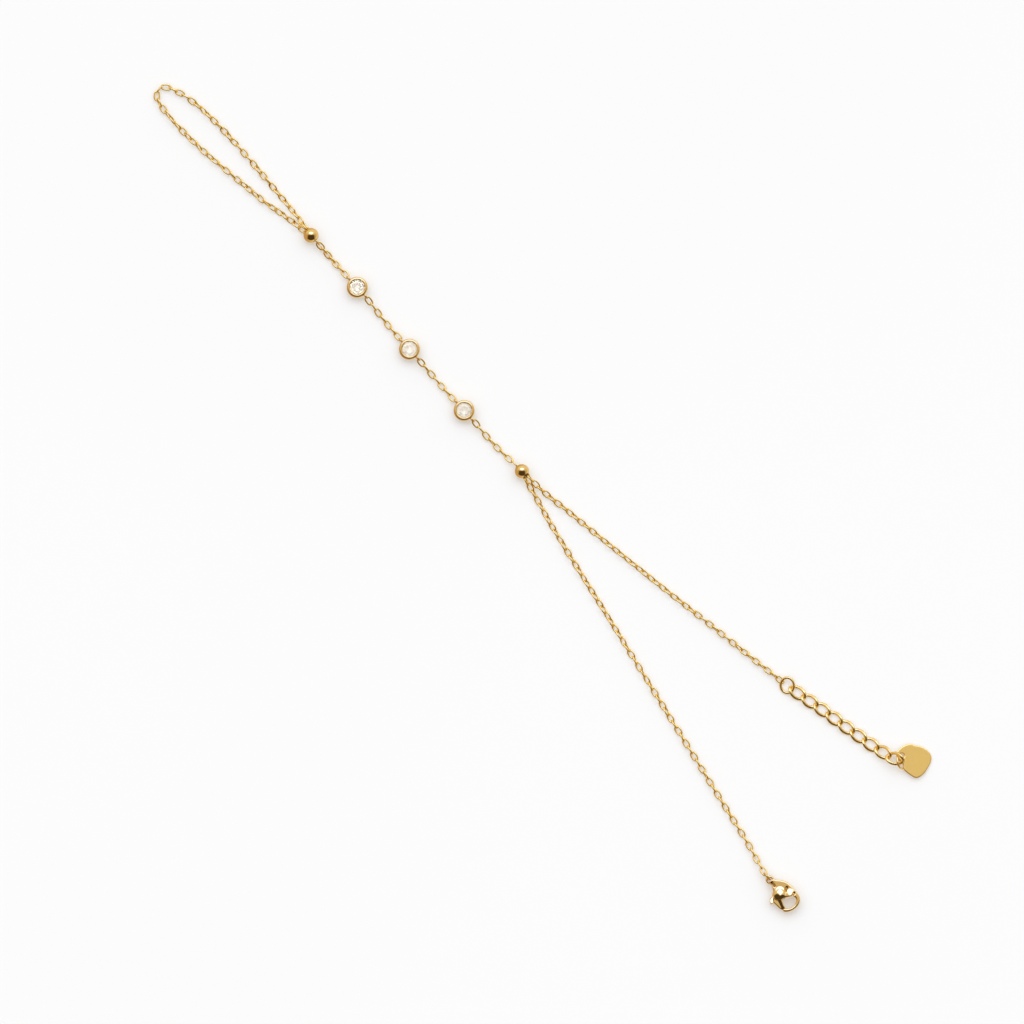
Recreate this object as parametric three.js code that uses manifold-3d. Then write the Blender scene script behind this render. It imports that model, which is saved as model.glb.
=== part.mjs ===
// Hand chain: a finger loop of fine cable chain, a centre chain with three round
// collets, and two wrist strands, one with a lobster clasp and one with a curb-link
// extender and an end tag. It lies flat. Millimetres, +Z up, +Y from the wrist bead
// towards the finger loop. Working coordinates have their origin under the wrist
// bead; at the end the whole group is moved so that the origin is the centre of the
// bounding box on the surface that it lies on.

import * as THREE from 'three';
import { mergeVertices } from 'three/addons/utils/BufferGeometryUtils.js';
import Module from 'manifold-3d';

// ---------------------------------------------------------------- dimensions

const CHAIN = { radius: 0.64, sides: 8, restZ: 0.64 };            // envelope of the fine cable chain

const FINGER_BEAD = { x: 0.06, y: 62.02, radius: 1.48, bore: 0.72, tilt: 0 };
const WRIST_BEAD = { x: 0.0, y: 0.0, radius: 1.40, bore: 0.66, tilt: 14 };

const COLLET = {                                                  // round collet (bezel)
  outer: 2.05, lip: 1.42, seat: 1.62, height: 1.95, foot: 1.30,
  loopRing: 0.52, loopWire: 0.19, loopOut: 2.36,
  farLoopZ: 0.85, nearLoopZ: 1.26,
};
const COLLETS = [                                                 // heading: clockwise from -Y, degrees
  { name: '1', x: 0.01, y: 48.39, heading: -1.2 },
  { name: '2', x: -0.47, y: 32.51, heading: -0.9 },
  { name: '3', x: -0.49, y: 16.42, heading: 0.8 },
];
const STONE = { girdle: 1.50, table: 0.82, girdleZ: 1.20, girdleThick: 0.12, tableZ: 1.78, culetZ: 0.34 };

const CLASP = {
  x: -17.18, y: -92.01, z: 1.25, heading: -90,
  eyeRing: 0.58, eyeWire: 0.22,
  domeX: 3.95, domeY: 0.35, domeRX: 4.6, domeRY: 3.1, domeRZ: 1.25,
  pivotX: 3.30, pivotY: -0.70, pinRadius: 0.30, pinHole: 0.40,
  leverThick: 0.90, slotGap: 0.13, openAngle: 26,
};
const CLASP_RING = { radius: 0.85, wire: 0.18 };

const EXTENDER_RING = { x: 10.76, y: -65.78, z: 0.64, radius: 1.39, wire: 0.23, tilt: 17 };
const LINK = { halfLength: 1.71, halfWidth: 1.04, wire: 0.21, twist: 40, pitch: 2.92, ringStep: 2.44 };
const LINK_ROWS = [                                               // heading from -Y towards +X, degrees
  { heading: 12.3, z: 0.60, rise: 0 },
  { heading: 14.0, z: 0.60, rise: 0 },
  { heading: 13.8, z: 0.60, rise: 0 },
  { heading: 12.2, z: 0.60, rise: 0 },
  { heading: 12.0, z: 0.60, rise: 0 },
  { heading: 13.0, z: 0.60, rise: 0 },
  { heading: 13.0, z: 0.62, rise: 1 },
  { heading: 15.0, z: 1.02, rise: 13.6, turn: -73.7, roll: 6.4, pitch: 2.88 },
];
const LAST_LINK = { x: 16.80, y: -90.51, z: 1.77, roll: 5.1, rise: 16.0, turn: -54.6 };

const TAG = { x: 17.65, y: -91.55, z: 0.93, thick: 0.36, holeX: 0.56, holeY: 0.56, holeRadius: 0.53, slope: 7.4, downhill: -18.2 };
const TAG_RING = { x: 17.30, y: -91.80, z: 1.32, radius: 1.33, wire: 0.19, heading: 56.0, tilt: 57.2 };

// ---------------------------------------------------------------- materials

const chainGold = new THREE.MeshStandardMaterial({ color: 0xe0b568, metalness: 1.0, roughness: 0.28 });
const polishedGold = new THREE.MeshStandardMaterial({ color: 0xe2b765, metalness: 1.0, roughness: 0.16 });
const flatGold = new THREE.MeshStandardMaterial({ color: 0xe3c178, metalness: 1.0, roughness: 0.35 });
const clearStone = new THREE.MeshStandardMaterial({ color: 0xf0eeea, metalness: 0.0, roughness: 0.05 });

// ---------------------------------------------------------------- helpers

const wasm = await Module();
wasm.setup();

const deg = THREE.MathUtils.degToRad;
const root = new THREE.Group();

function clean(geometry) {
  const g = geometry.clone();
  g.deleteAttribute('normal');
  g.deleteAttribute('uv');
  return mergeVertices(g, 1e-4);
}

function solid(geometry) {
  const g = clean(geometry);
  return new wasm.Manifold(new wasm.Mesh({
    numProp: 3,
    vertProperties: new Float32Array(g.attributes.position.array),
    triVerts: new Uint32Array(g.index.array),
  }));
}

function geometryOf(manifold) {
  const m = manifold.getMesh();
  const g = new THREE.BufferGeometry();
  g.setAttribute('position', new THREE.BufferAttribute(new Float32Array(m.vertProperties), 3));
  g.setIndex(new THREE.BufferAttribute(new Uint32Array(m.triVerts), 1));
  g.computeVertexNormals();
  return g;
}

function add(name, geometry, material, parent = root) {
  const mesh = new THREE.Mesh(clean(geometry), material);
  mesh.geometry.computeVertexNormals();
  mesh.name = name;
  parent.add(mesh);
  return mesh;
}

// A route whose stations fall on its table's rows, evenly between each two.
class Route extends THREE.CatmullRomCurve3 {
  constructor(rows) {
    super(rows.map((r) => new THREE.Vector3(r.x, r.y, r.z ?? CHAIN.restZ)), false, 'centripetal');
    this.rows = rows.length;
  }
  getUtoTmapping(u) { return u; }
}

function octagon(radius, sides) {
  const shape = new THREE.Shape();
  for (let i = 0; i < sides; i++) {
    const a = (i + 0.5) / sides * Math.PI * 2;
    if (i === 0) shape.moveTo(radius * Math.cos(a), radius * Math.sin(a));
    else shape.lineTo(radius * Math.cos(a), radius * Math.sin(a));
  }
  shape.closePath();
  return shape;
}

function chainTube(rows, perRow) {
  const route = new Route(rows);
  return new THREE.ExtrudeGeometry(octagon(CHAIN.radius, CHAIN.sides), {
    extrudePath: route, steps: (rows.length - 1) * perRow, bevelEnabled: false, curveSegments: 1,
  });
}

// ---------------------------------------------------------------- chains

// Finger loop: from the bead's mouth up one side, round the tip, and back.
const FINGER_LOOP = [
  { x: -0.36, y: 63.66, z: 0.98 },
  { x: -0.66, y: 65.90, z: 0.72 },
  { x: -1.22, y: 68.60 },
  { x: -2.25, y: 73.10 },
  { x: -3.20, y: 79.20 },
  { x: -3.98, y: 84.40 },
  { x: -4.62, y: 89.40 },
  { x: -4.98, y: 94.60 },
  { x: -4.96, y: 98.60 },
  { x: -4.72, y: 101.20 },
  { x: -4.02, y: 102.80 },
  { x: -2.85, y: 103.36 },
  { x: -1.62, y: 102.66 },
  { x: -0.62, y: 100.80 },
  { x: 0.16, y: 98.10 },
  { x: 0.78, y: 94.20 },
  { x: 1.08, y: 89.40 },
  { x: 1.12, y: 83.60 },
  { x: 1.02, y: 78.20 },
  { x: 0.84, y: 73.00 },
  { x: 0.68, y: 68.60, z: 0.78 },
  { x: 0.52, y: 65.90, z: 1.40 },
  { x: 0.34, y: 63.70, z: 2.06 },
];
add('finger_loop_chain', chainTube(FINGER_LOOP, 2), chainGold);

// Centre chain: four short stretches between bead, collets and bead.
const CENTRE_CHAINS = [
  { name: 'centre_chain_1', rows: [
    { x: 0.06, y: 60.30, z: 1.40 }, { x: 0.03, y: 57.40, z: 0.68 }, { x: 0.03, y: 54.60 }, { x: 0.00, y: 51.82, z: 0.80 }] },
  { name: 'centre_chain_2', rows: [
    { x: -0.06, y: 44.98, z: 1.10 }, { x: -0.24, y: 42.00, z: 0.66 }, { x: -0.35, y: 38.90 }, { x: -0.41, y: 35.94, z: 0.80 }] },
  { name: 'centre_chain_3', rows: [
    { x: -0.48, y: 29.10, z: 1.10 }, { x: -0.47, y: 26.10, z: 0.66 }, { x: -0.52, y: 22.90 }, { x: -0.54, y: 19.85, z: 0.80 }] },
  { name: 'centre_chain_4', rows: [
    { x: -0.52, y: 13.00, z: 1.10 }, { x: -0.52, y: 9.90, z: 0.66 }, { x: -0.42, y: 6.60 }, { x: -0.22, y: 4.10, z: 0.80 },
    { x: -0.08, y: 1.62, z: 1.14 }] },
];
for (const c of CENTRE_CHAINS) add(c.name, chainTube(c.rows, 1), chainGold);

// Wrist strands.
const STRAND_TO_CLASP = [
  { x: -0.52, y: -1.58, z: 0.92 },
  { x: -0.88, y: -3.60, z: 0.72 },
  { x: -1.52, y: -6.60 },
  { x: -2.53, y: -11.03 },
  { x: -4.11, y: -19.38 },
  { x: -6.55, y: -33.33 },
  { x: -9.05, y: -47.27 },
  { x: -11.56, y: -61.22 },
  { x: -14.06, y: -75.14 },
  { x: -15.55, y: -83.52 },
  { x: -16.42, y: -87.40, z: 0.72 },
  { x: -16.92, y: -89.72, z: 1.10 },
];
add('wrist_chain_clasp', chainTube(STRAND_TO_CLASP, 2), chainGold);

const STRAND_TO_EXTENDER = [
  { x: 0.24, y: -1.70, z: 2.02 },
  { x: 0.34, y: -3.90, z: 1.36 },
  { x: 0.66, y: -6.69, z: 0.80 },
  { x: 1.51, y: -11.40 },
  { x: 2.41, y: -17.11 },
  { x: 3.81, y: -25.67 },
  { x: 5.71, y: -37.07 },
  { x: 7.26, y: -45.61 },
  { x: 9.18, y: -56.99 },
  { x: 10.38, y: -63.72 },
];
add('wrist_chain_extender', chainTube(STRAND_TO_EXTENDER, 2), chainGold);

// ---------------------------------------------------------------- beads

function bead(b) {
  const a0 = Math.asin(b.bore / b.radius);
  const steps = 9;
  const profile = [];
  for (let i = 0; i <= steps; i++) {
    const a = a0 + (Math.PI - 2 * a0) * i / steps;
    profile.push(new THREE.Vector2(b.radius * Math.sin(a), -b.radius * Math.cos(a)));
  }
  profile.push(profile[0].clone());
  const g = new THREE.LatheGeometry(profile, 20);                 // bore along Y
  g.rotateX(deg(-b.tilt));
  g.translate(b.x, b.y, b.radius);
  return g;
}
add('finger_bead', bead(FINGER_BEAD), polishedGold);
add('wrist_bead', bead(WRIST_BEAD), polishedGold);

// ---------------------------------------------------------------- collets and stones

function colletGeometry() {
  const c = COLLET;
  const profile = [
    [c.foot, 0], [c.outer - 0.12, 0], [c.outer, 0.18], [c.outer, c.height - 0.28],
    [c.outer - 0.14, c.height - 0.05], [c.outer - 0.32, c.height], [c.lip + 0.06, c.height - 0.10],
    [c.lip, c.height - 0.24], [c.seat, c.height - 0.52], [c.seat, 1.02], [c.foot, 0.24], [c.foot, 0],
  ].map(([r, z]) => new THREE.Vector2(r, z));
  const ring = new THREE.LatheGeometry(profile, 24);
  ring.rotateX(Math.PI / 2);                                      // axis Y to Z
  let body = solid(ring);
  for (const side of [{ s: 1, z: c.farLoopZ }, { s: -1, z: c.nearLoopZ }]) {
    const loop = new THREE.TorusGeometry(c.loopRing, c.loopWire, 6, 14);
    loop.rotateY(Math.PI / 2);                                    // stands in the YZ plane
    loop.translate(0, side.s * c.loopOut, side.z);
    body = body.add(solid(loop));
  }
  return geometryOf(body);
}

function stoneGeometry() {
  const s = STONE;
  const profile = [
    [0, s.culetZ], [s.girdle * 0.55, s.culetZ + (s.girdleZ - s.culetZ) * 0.55], [s.girdle, s.girdleZ],
    [s.girdle, s.girdleZ + s.girdleThick], [(s.girdle + s.table) / 2 + 0.06, s.tableZ - 0.18], [s.table, s.tableZ], [0, s.tableZ],
  ].map(([r, z]) => new THREE.Vector2(r, z));
  const g = new THREE.LatheGeometry(profile, 16);
  g.rotateX(Math.PI / 2);
  return g;
}

const colletShape = colletGeometry();
const stoneShape = stoneGeometry();
for (const c of COLLETS) {
  const group = new THREE.Group();
  group.position.set(c.x, c.y, 0);
  group.rotation.z = deg(-c.heading);
  root.add(group);
  add(`bezel_${c.name}`, colletShape, polishedGold, group);
  add(`stone_${c.name}`, stoneShape, clearStone, group);
}

// ---------------------------------------------------------------- lobster clasp

// Local frame: x from the eye to the hook's end, y towards the hook's shoulder,
// the thumb nub on -y, z up. The eye's centre is the origin.
const BODY_OUTLINE = [
  [0.30, -0.42], [1.20, -0.60], [1.85, -0.88], [2.35, -1.28], [2.78, -1.62], [3.30, -1.78], [3.84, -1.64], [4.24, -1.26],
  [4.42, -0.75], [4.42, -0.05], [4.60, 0.70], [5.10, 1.28], [5.76, 1.46], [6.40, 1.22], [6.80, 0.60], [6.92, -0.10],
  [6.80, -0.75], [6.44, -1.30], [6.38, -1.78], [6.62, -1.98], [7.02, -1.55], [7.32, -0.80], [7.42, 0.10], [7.22, 1.10],
  [6.62, 1.95], [5.70, 2.52], [4.60, 2.74], [3.40, 2.62], [2.30, 2.15], [1.40, 1.42], [0.80, 0.85], [0.30, 0.50],
];
const LEVER_OUTLINE = [
  [2.56, -0.58], [2.70, -0.22], [3.08, 0.02], [3.55, 0.02], [4.00, -0.34], [4.50, -0.84], [5.20, -1.20], [5.86, -1.36],
  [6.08, -1.50], [6.16, -1.74], [6.00, -1.98], [5.40, -2.10], [4.60, -2.06], [4.10, -1.98], [3.94, -2.20], [3.86, -2.58],
  [3.50, -2.74], [3.14, -2.58], [3.02, -2.10], [2.82, -1.50], [2.60, -1.00],
];

function outline(points) {
  const shape = new THREE.Shape();
  points.forEach(([x, y], i) => { if (i === 0) shape.moveTo(x, y); else shape.lineTo(x, y); });
  shape.closePath();
  return shape;
}

function slab(shape, thick) {
  const g = new THREE.ExtrudeGeometry(shape, { depth: thick, bevelEnabled: false, curveSegments: 1 });
  g.translate(0, 0, -thick / 2);
  return g;
}

function claspBody() {
  const c = CLASP;
  const blank = slab(outline(BODY_OUTLINE), 4);
  const dome = new THREE.SphereGeometry(1, 24, 14);
  dome.rotateX(Math.PI / 2);
  dome.scale(c.domeRX, c.domeRY, c.domeRZ);
  dome.translate(c.domeX, c.domeY, 0);
  let body = solid(blank).intersect(solid(dome));
  const eye = new THREE.TorusGeometry(c.eyeRing, c.eyeWire, 8, 18);
  body = body.add(solid(eye));
  // slot for the lever through its whole swing
  const flat = new wasm.CrossSection([LEVER_OUTLINE.map(([x, y]) => [x - c.pivotX, y - c.pivotY])], 'EvenOdd').offset(c.slotGap, 'Round', 2, 12);
  let swept = flat;
  for (let a = 4; a <= c.openAngle + 2; a += 4) swept = swept.add(flat.rotate(a));
  const slot = swept.simplify(0.03).extrude(c.leverThick + 2 * c.slotGap, 0, 0, [1, 1], true).translate([c.pivotX, c.pivotY, 0]);
  body = body.subtract(slot);
  // riveted pin across the slot
  const pin = new THREE.CylinderGeometry(c.pinRadius, c.pinRadius, 1.9, 14);
  pin.rotateX(Math.PI / 2);
  pin.translate(c.pivotX, c.pivotY, 0);
  return geometryOf(body.add(solid(pin)));
}

function claspLever() {
  const c = CLASP;
  let lever = solid(slab(outline(LEVER_OUTLINE), c.leverThick));
  const nub = new THREE.SphereGeometry(1, 14, 10);
  nub.rotateX(Math.PI / 2);
  nub.scale(0.60, 0.44, 0.80);
  nub.translate(3.50, -2.40, 0);
  lever = lever.add(solid(nub));
  const hole = new THREE.CylinderGeometry(c.pinHole, c.pinHole, 3, 14);
  hole.rotateX(Math.PI / 2);
  hole.translate(c.pivotX, c.pivotY, 0);
  return geometryOf(lever.subtract(solid(hole)));
}

const clasp = new THREE.Group();
clasp.position.set(CLASP.x, CLASP.y, CLASP.z);
clasp.rotation.z = deg(CLASP.heading);
root.add(clasp);
add('clasp_body', claspBody(), polishedGold, clasp);
add('clasp_lever', claspLever(), polishedGold, clasp);

// jump ring standing in the eye
const claspRing = new THREE.TorusGeometry(CLASP_RING.radius, CLASP_RING.wire, 6, 18);
claspRing.rotateX(Math.PI / 2);
claspRing.translate(-CLASP_RING.radius, 0, 0);
add('clasp_ring', claspRing, polishedGold, clasp);

// ---------------------------------------------------------------- extender

function ringAt(spec, heading, tiltAboutHeading) {
  const g = new THREE.TorusGeometry(spec.radius, spec.wire, 6, 22);
  g.rotateX(deg(tiltAboutHeading));
  g.rotateZ(deg(heading));
  g.translate(spec.x, spec.y, spec.z);
  return g;
}

// A curb link: an oval whose two ends are turned opposite ways about its length.
class CurbCurve extends THREE.Curve {
  getPoint(t, target = new THREE.Vector3()) {
    const a = t * Math.PI * 2;
    const x = LINK.halfLength * Math.cos(a);
    const r = LINK.halfWidth * Math.sin(a);
    const turn = deg(LINK.twist) * Math.cos(a);
    return target.set(x, r * Math.cos(turn), r * Math.sin(turn));
  }
}
const linkShape = new THREE.TubeGeometry(new CurbCurve(), 20, LINK.wire, 6, true);

const firstHeading = LINK_ROWS[0].heading - 90;
add('extender_ring', ringAt(EXTENDER_RING, firstHeading, EXTENDER_RING.tilt), polishedGold);

function extenderLink(name, x, y, z, roll, rise, turn) {
  const mesh = add(name, linkShape, polishedGold);
  mesh.position.set(x, y, z);
  mesh.rotation.order = 'ZYX';
  mesh.rotation.set(deg(roll), deg(-rise), deg(turn));
}

const cursor = new THREE.Vector2(EXTENDER_RING.x, EXTENDER_RING.y);
LINK_ROWS.forEach((row, i) => {
  const step = i === 0 ? LINK.ringStep : row.pitch ?? LINK.pitch;
  cursor.x += step * Math.sin(deg(row.heading));
  cursor.y -= step * Math.cos(deg(row.heading));
  const next = LINK_ROWS[Math.min(i + 1, LINK_ROWS.length - 1)];
  extenderLink(`extender_link_${i + 1}`, cursor.x, cursor.y, row.z, row.roll ?? 0, row.rise, row.turn ?? (row.heading + next.heading) / 2 - 90);
});
extenderLink(`extender_link_${LINK_ROWS.length + 1}`, LAST_LINK.x, LAST_LINK.y, LAST_LINK.z, LAST_LINK.roll, LAST_LINK.rise, LAST_LINK.turn);

// ---------------------------------------------------------------- tag

// Rounded heart outline, relative to the tag ring's centre.
const TAG_OUTLINE = [
  [0.00, -1.60], [-0.20, -1.00], [-0.42, -0.40], [-0.48, 0.20], [-0.40, 0.90], [0.00, 1.55], [0.75, 1.90], [1.85, 1.86], [2.85, 1.58],
  [3.52, 1.10], [3.80, 0.62], [4.25, 0.05], [4.75, -0.75], [5.08, -1.70], [5.10, -2.70], [4.68, -3.58], [3.95, -4.12], [2.95, -4.50],
  [1.80, -4.82], [0.75, -4.86], [0.10, -4.70], [-0.30, -4.30], [-0.35, -3.55], [-0.10, -2.60],
];
const tagShape = new THREE.Shape(new THREE.SplineCurve([...TAG_OUTLINE, TAG_OUTLINE[0]].map(([x, y]) => new THREE.Vector2(x, y))).getPoints(44).slice(0, -1));
const tagHole = new THREE.Path();
for (let i = 0; i < 14; i++) {
  const a = i / 14 * Math.PI * 2;
  const x = TAG.holeX + TAG.holeRadius * Math.cos(a), y = TAG.holeY + TAG.holeRadius * Math.sin(a);
  if (i === 0) tagHole.moveTo(x, y); else tagHole.lineTo(x, y);
}
tagShape.holes.push(tagHole);
const tagGeometry = new THREE.ExtrudeGeometry(tagShape, { depth: TAG.thick, bevelEnabled: false, curveSegments: 6 });
tagGeometry.translate(0, 0, -TAG.thick / 2);
const tag = add('tag', tagGeometry, flatGold);
tag.position.set(TAG.x, TAG.y, TAG.z);
tag.quaternion.setFromAxisAngle(new THREE.Vector3(-Math.sin(deg(TAG.downhill)), Math.cos(deg(TAG.downhill)), 0), deg(TAG.slope));

add('tag_ring', ringAt(TAG_RING, TAG_RING.heading, TAG_RING.tilt), polishedGold);

// ---------------------------------------------------------------- origin

root.updateMatrixWorld(true);
const box = new THREE.Box3().setFromObject(root, true);
const centre = box.getCenter(new THREE.Vector3());
const handChain = new THREE.Group();
handChain.add(root);
root.position.set(-centre.x, -centre.y, -box.min.z);
handChain.updateMatrixWorld(true);

export default handChain;
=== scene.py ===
import math

import bpy
import numpy as np
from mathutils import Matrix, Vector


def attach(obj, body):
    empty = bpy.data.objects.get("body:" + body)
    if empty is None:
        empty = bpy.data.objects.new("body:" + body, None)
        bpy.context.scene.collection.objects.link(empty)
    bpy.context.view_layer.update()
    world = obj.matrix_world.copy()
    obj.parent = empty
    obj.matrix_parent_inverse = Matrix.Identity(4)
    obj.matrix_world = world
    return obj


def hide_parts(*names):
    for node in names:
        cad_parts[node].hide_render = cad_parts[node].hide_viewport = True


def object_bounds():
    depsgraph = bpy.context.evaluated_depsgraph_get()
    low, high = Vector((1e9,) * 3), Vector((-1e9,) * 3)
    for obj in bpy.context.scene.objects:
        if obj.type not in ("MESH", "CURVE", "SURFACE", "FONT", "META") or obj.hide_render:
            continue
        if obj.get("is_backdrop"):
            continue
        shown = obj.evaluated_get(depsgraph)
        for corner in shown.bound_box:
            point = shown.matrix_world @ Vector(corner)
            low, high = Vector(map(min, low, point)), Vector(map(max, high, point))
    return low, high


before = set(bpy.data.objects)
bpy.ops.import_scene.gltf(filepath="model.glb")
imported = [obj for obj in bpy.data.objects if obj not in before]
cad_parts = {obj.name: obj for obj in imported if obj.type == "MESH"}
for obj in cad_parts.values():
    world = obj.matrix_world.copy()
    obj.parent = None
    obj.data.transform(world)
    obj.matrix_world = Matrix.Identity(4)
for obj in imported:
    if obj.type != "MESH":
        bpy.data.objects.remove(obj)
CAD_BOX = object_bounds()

# Everything below is written in millimetres in the chain's working frame: its origin
# is on the floor under the wrist bead, +Y runs to the finger bead, +Z is up. to_m()
# turns that into metres in the row frame.

SHIFT = np.array([-1.3784057, -2.2611314, 0.0])


def to_m(p):
    return (np.asarray(p, float) + SHIFT) * 0.001


# ------------------------------------------------------------------ camera and light

AZ, EL = math.radians(-41.7), math.radians(84.0)
AIM = Vector(to_m([-6.68, -4.57, 0.0]))
LOOK = Vector((-math.sin(AZ), math.cos(AZ), 0.0))          # picture up, on the floor
RIGHT = Vector((math.cos(AZ), math.sin(AZ), 0.0))          # picture right
TO_CAMERA = (-LOOK * math.cos(EL) + Vector((0, 0, 1)) * math.sin(EL)).normalized()
LENS = 1200.0
DISTANCE = 0.0055555 * LENS                 # 5.12 pixels to the millimetre at the floor


def aim(obj, target):
    d = (target - obj.location).normalized()
    obj.rotation_euler = d.to_track_quat("-Z", "Y").to_euler()


def make_camera():
    data = bpy.data.cameras.new("camera")
    data.lens = LENS
    data.sensor_width = 36.0
    data.clip_start, data.clip_end = 0.1, 40.0
    cam = bpy.data.objects.new("camera", data)
    bpy.context.scene.collection.objects.link(cam)
    cam.location = AIM + TO_CAMERA * DISTANCE
    aim(cam, AIM)
    bpy.context.scene.camera = cam


def area(name, height, width, power, color):
    """A broad overhead diffuser: it lights the floor, and the metal and the stones show only the studio round it."""
    data = bpy.data.lights.new(name, "AREA")
    data.shape = "DISK"
    data.size = width
    data.energy = power
    data.color = color
    lamp = bpy.data.objects.new(name, data)
    bpy.context.scene.collection.objects.link(lamp)
    lamp.location = AIM + Vector((0, 0, height))
    lamp.visible_camera = False
    lamp.visible_glossy = False
    lamp.visible_transmission = False


class Nodes:
    """Short names for building a node tree."""

    def __init__(self, tree):
        self.tree = tree
        tree.nodes.clear()

    def new(self, kind, **settings):
        n = self.tree.nodes.new(kind)
        for k, v in settings.items():
            setattr(n, k, v)
        return n

    def link(self, a, b):
        self.tree.links.new(a, b)

    def math(self, op, a, b=None, c=None, clamp=False):
        n = self.new("ShaderNodeMath", operation=op, use_clamp=clamp)
        for i, v in enumerate((a, b, c)):
            if v is None:
                continue
            if isinstance(v, (int, float)):
                n.inputs[i].default_value = v
            else:
                self.link(v, n.inputs[i])
        return n.outputs[0]

    def ramp(self, value, stops, interpolation="EASE"):
        n = self.new("ShaderNodeValToRGB")
        n.color_ramp.interpolation = interpolation
        while len(n.color_ramp.elements) < len(stops):
            n.color_ramp.elements.new(0.5)
        for e, (pos, col) in zip(n.color_ramp.elements, stops):
            e.position = pos
            e.color = (*col, 1.0) if len(col) == 3 else col
        self.link(value, n.inputs[0])
        return n.outputs[0]


UP = TO_CAMERA.cross(RIGHT).normalized()
if UP.dot(LOOK) < 0:
    UP.negate()


def make_world():
    """Studio light by direction: an overhead softbox, a pale back, a dim left side and the dark front of the room.
    Under the horizon it is the pale table, which is what the metal mirrors there."""
    world = bpy.data.worlds.new("studio")
    bpy.context.scene.world = world
    world.use_nodes = True
    n = Nodes(world.node_tree)
    direction = n.new("ShaderNodeTexCoord").outputs["Generated"]

    def dot(v):
        d = n.new("ShaderNodeVectorMath", operation="DOT_PRODUCT")
        n.link(direction, d.inputs[0])
        d.inputs[1].default_value = tuple(v)
        return d.outputs["Value"]

    def smooth(value, none, full):
        m = n.new("ShaderNodeMapRange", interpolation_type="SMOOTHSTEP", clamp=True)
        m.inputs["From Min"].default_value = none
        m.inputs["From Max"].default_value = full
        n.link(value, m.inputs["Value"])
        return m.outputs[0]

    def mixed(factor, a, b):
        mix = n.new("ShaderNodeMix", data_type="RGBA", clamp_factor=True)
        n.link(factor, mix.inputs["Factor"])
        for value, name in ((a, "A"), (b, "B")):
            if isinstance(value, tuple):
                mix.inputs[name].default_value = (*value, 1.0)
            else:
                n.link(value, mix.inputs[name])
        return mix.outputs["Result"]

    ahead, right, up, high = dot(TO_CAMERA), dot(RIGHT), dot(UP), dot(Vector((0, 0, 1)))
    forward = n.math("MAXIMUM", ahead, 0.02)
    level = mixed(smooth(right, -0.75, 0.75), WORLD["left"], WORLD["right"])
    level = mixed(smooth(up, -0.1, 0.85), level, WORLD["back"])
    table = mixed(smooth(right, -0.75, 0.75), WORLD["table_left"], WORLD["table_right"])
    level = mixed(smooth(high, 0.06, -0.10), level, table)
    front = n.math("MULTIPLY", smooth(up, WORLD["front_edge"][0], WORLD["front_edge"][1]),
                   smooth(n.math("ABSOLUTE", right), 0.92, 0.64))
    front = n.math("MULTIPLY", front, smooth(high, 0.02, 0.16))
    level = mixed(front, level, WORLD["front"])
    across = n.math("DIVIDE", n.math("ABSOLUTE", n.math("SUBTRACT", n.math("DIVIDE", right, forward), WORLD["box_at"][0])), WORLD["box_half"][0])
    along = n.math("DIVIDE", n.math("ABSOLUTE", n.math("SUBTRACT", n.math("DIVIDE", up, forward), WORLD["box_at"][1])), WORLD["box_half"][1])
    reach = n.math("ADD", n.math("POWER", across, WORLD["box_round"]), n.math("POWER", along, WORLD["box_round"]))
    box = n.math("MULTIPLY", smooth(reach, 1.10, 0.90), smooth(ahead, 0.05, 0.1))
    path = n.new("ShaderNodeLightPath")
    lamp = mixed(path.outputs["Is Glossy Ray"], WORLD["box_fill"], WORLD["box"])
    lamp = mixed(path.outputs["Is Singular Ray"], lamp, WORLD["box_clear"])
    level = mixed(box, level, lamp)
    through = n.math("MULTIPLY", path.outputs["Is Transmission Ray"], 0.75)
    level = mixed(through, level, WORLD["through"])
    background = n.new("ShaderNodeBackground")
    background.inputs["Strength"].default_value = 1.0
    n.link(level, background.inputs["Color"])
    out = n.new("ShaderNodeOutputWorld")
    n.link(background.outputs[0], out.inputs["Surface"])


WORLD = {
    "left": (0.64, 0.48, 0.29),
    "right": (0.64, 0.57, 0.47),
    "back": (0.99, 0.97, 0.87),
    "table_left": (0.66, 0.50, 0.33),
    "table_right": (0.94, 0.89, 0.80),
    "front": (0.080, 0.058, 0.034),
    "front_edge": (0.15, 0.05),
    "box": (1.80, 2.35, 4.50),                 # as the metal mirrors it: white once the metal has tinted it
    "box_clear": (2.5, 2.4, 2.2),              # as the stones show it
    "box_fill": (1.5, 1.5, 1.55),              # as it lights the floor
    "box_at": (0.0, 0.90),                     # tangents, right and up from the camera's direction
    "box_half": (1.00, 0.65),
    "box_round": 1.0,
    "through": (2.20, 2.00, 1.66),
}

make_camera()
make_world()
area("diffuser", 1.5, 4.0, 48.3, (0.632, 0.774, 1.0))

# ------------------------------------------------------------------ materials


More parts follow.
